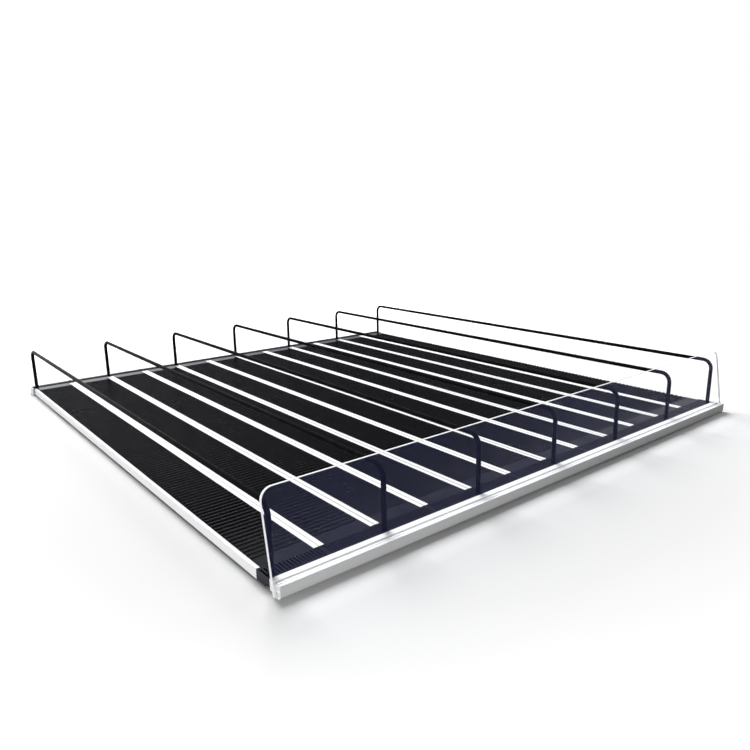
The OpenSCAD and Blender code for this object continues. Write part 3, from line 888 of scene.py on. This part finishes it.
# %% Seven dividers
DIVIDERS = 7
WIRE_RADIUS, BEND_RADIUS = 2.5 * MM, 12 * MM
COMB_TOP, BLADE_THICK, BLADE_WIDE, BLADE_LAP = 11.3 * MM, 1.3 * MM, 3 * MM, 1 * MM
for number in range(1, DIVIDERS + 1):
    low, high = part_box(f"divider_{number}")
    x = (low[0] + high[0]) / 2
    front, rear = low[1] + WIRE_RADIUS, high[1] - WIRE_RADIUS
    top_z = high[2] - WIRE_RADIUS
    loop = grow(f"wire_divider_{number}", wire_tree, {
        "Front Foot": (x, front, COMB_TOP), "Front Top": (x, front, top_z),
        "Rear Top": (x, rear, top_z), "Rear Foot": (x, rear, COMB_TOP),
        "Bend": BEND_RADIUS, "Radius": WIRE_RADIUS,
        "Blade": (BLADE_THICK, BLADE_WIDE, COMB_TOP - low[2] + BLADE_LAP),
        "Blade Drop": (0, 0, (low[2] - COMB_TOP + BLADE_LAP) / 2), "Finish": wire_black})
    smooth_by_angle(loop.data, 40)
    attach(loop, f"divider_{number}")
    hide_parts(f"divider_{number}")
print("dividers:", DIVIDERS, "faces each:", len(loop.data.polygons))

# %% [markdown]
# ## The clear stop
# The stop is cut from a sheet, with rounded upper corners and broken edges. Its outline
# is drawn flat, given its thickness, bevelled, and then leaned back into the profile. The
# foot that stands in the profile's pocket gets the edges' opaque white, which is painted
# light for the light that reaches into the pocket through the sheet.

# %% Stop sheet
STOP_LEAN = math.radians(9.5)
STOP_HALF, STOP_THICK, STOP_CORNER = 360.95 * MM, 3 * MM, 11 * MM
# below this height the sheet's foot is painted opaque white, as painted light in the pocket
STOP_BEVEL, PAINTED_WHITE_BELOW = 0.35 * MM, -0.3 * MM
PROFILE_TOP, POCKET_FLOOR, POCKET_SEAT, STOP_RISE = 12 * MM, 1.2 * MM, 0.3 * MM, 73 * MM
STOP_SEAT = Vector((0, -380 * MM, PROFILE_TOP))
foot = (PROFILE_TOP - POCKET_FLOOR) / math.cos(STOP_LEAN) - POCKET_SEAT
rise = STOP_RISE / math.cos(STOP_LEAN)


def rounded_sheet(name, half, low, high, radius, thickness, bevel, painted_white_below):
    """A sheet in the XZ plane with rounded upper corners. Faces are material 0. Edges,
    and all below the height given last, are material 1, which the stop paints an opaque white as painted
    light."""
    points, steps = [(-half, low), (half, low)], 12
    for centre, start in ((half - radius, 0), (-half + radius, 90)):
        for k in range(steps + 1):
            angle = math.radians(start + 90 * k / steps)
            points.append((centre + radius * math.cos(angle), high - radius + radius * math.sin(angle)))
    sheet = bmesh.new()
    front = [sheet.verts.new((x, -thickness / 2, z)) for x, z in points]
    back = [sheet.verts.new((x, thickness / 2, z)) for x, z in points]
    sheet.faces.new(front)
    sheet.faces.new(reversed(back))
    for k in range(len(points)):
        after = (k + 1) % len(points)
        sheet.faces.new((front[after], front[k], back[k], back[after])).material_index = 1
    bmesh.ops.bisect_plane(sheet, geom=[*sheet.verts, *sheet.edges, *sheet.faces],
                           plane_co=(0, 0, painted_white_below), plane_no=(0, 0, 1))
    for face in sheet.faces:
        if face.calc_center_median().z < painted_white_below:
            face.material_index = 1
    bmesh.ops.recalc_face_normals(sheet, faces=sheet.faces)
    rims = [e for e in sheet.edges if e.calc_face_angle() > math.radians(60)]
    bmesh.ops.bevel(sheet, geom=rims, offset=bevel, segments=2, affect="EDGES", profile=0.5, material=1)
    mesh = bpy.data.meshes.new(name)
    sheet.to_mesh(mesh)
    sheet.free()
    return mesh


stop_mesh = rounded_sheet("clear_stop", STOP_HALF, -foot, rise, STOP_CORNER, STOP_THICK,
                          STOP_BEVEL, PAINTED_WHITE_BELOW)
stop_mesh.transform(Matrix.Translation(STOP_SEAT) @ Matrix.Rotation(-STOP_LEAN, 4, "X"))
stop_mesh.polygons.foreach_set("use_smooth", [p.material_index == 1 for p in stop_mesh.polygons])
stop_mesh.materials.append(clear)
# material 1: the opaque white painted on edges and foot, partly frost and partly painted light
stop_mesh.materials.append(sheet_edge_painted_light)
stop = bpy.data.objects.new("clear_stop", stop_mesh)
bpy.context.collection.objects.link(stop)
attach(stop, "stop")
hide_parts("front_stop")
print("stop box:", [tuple(round(v, 4) for v in c) for c in (stop.bound_box[0], stop.bound_box[6])])

# %% [markdown]
# ## Measure and finish
# The dressed deck has to stay inside the box of its solids, because sizes come from the
# solids and never from the dressing. Both boxes are measured and written down.

# %% Sizes
new_low, new_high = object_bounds()
growth = [b - a for a, b in zip((*cad_low, *cad_high), (*new_low, *new_high))]
print("grown by (mm):", [round(g / MM, 2) for g in growth])
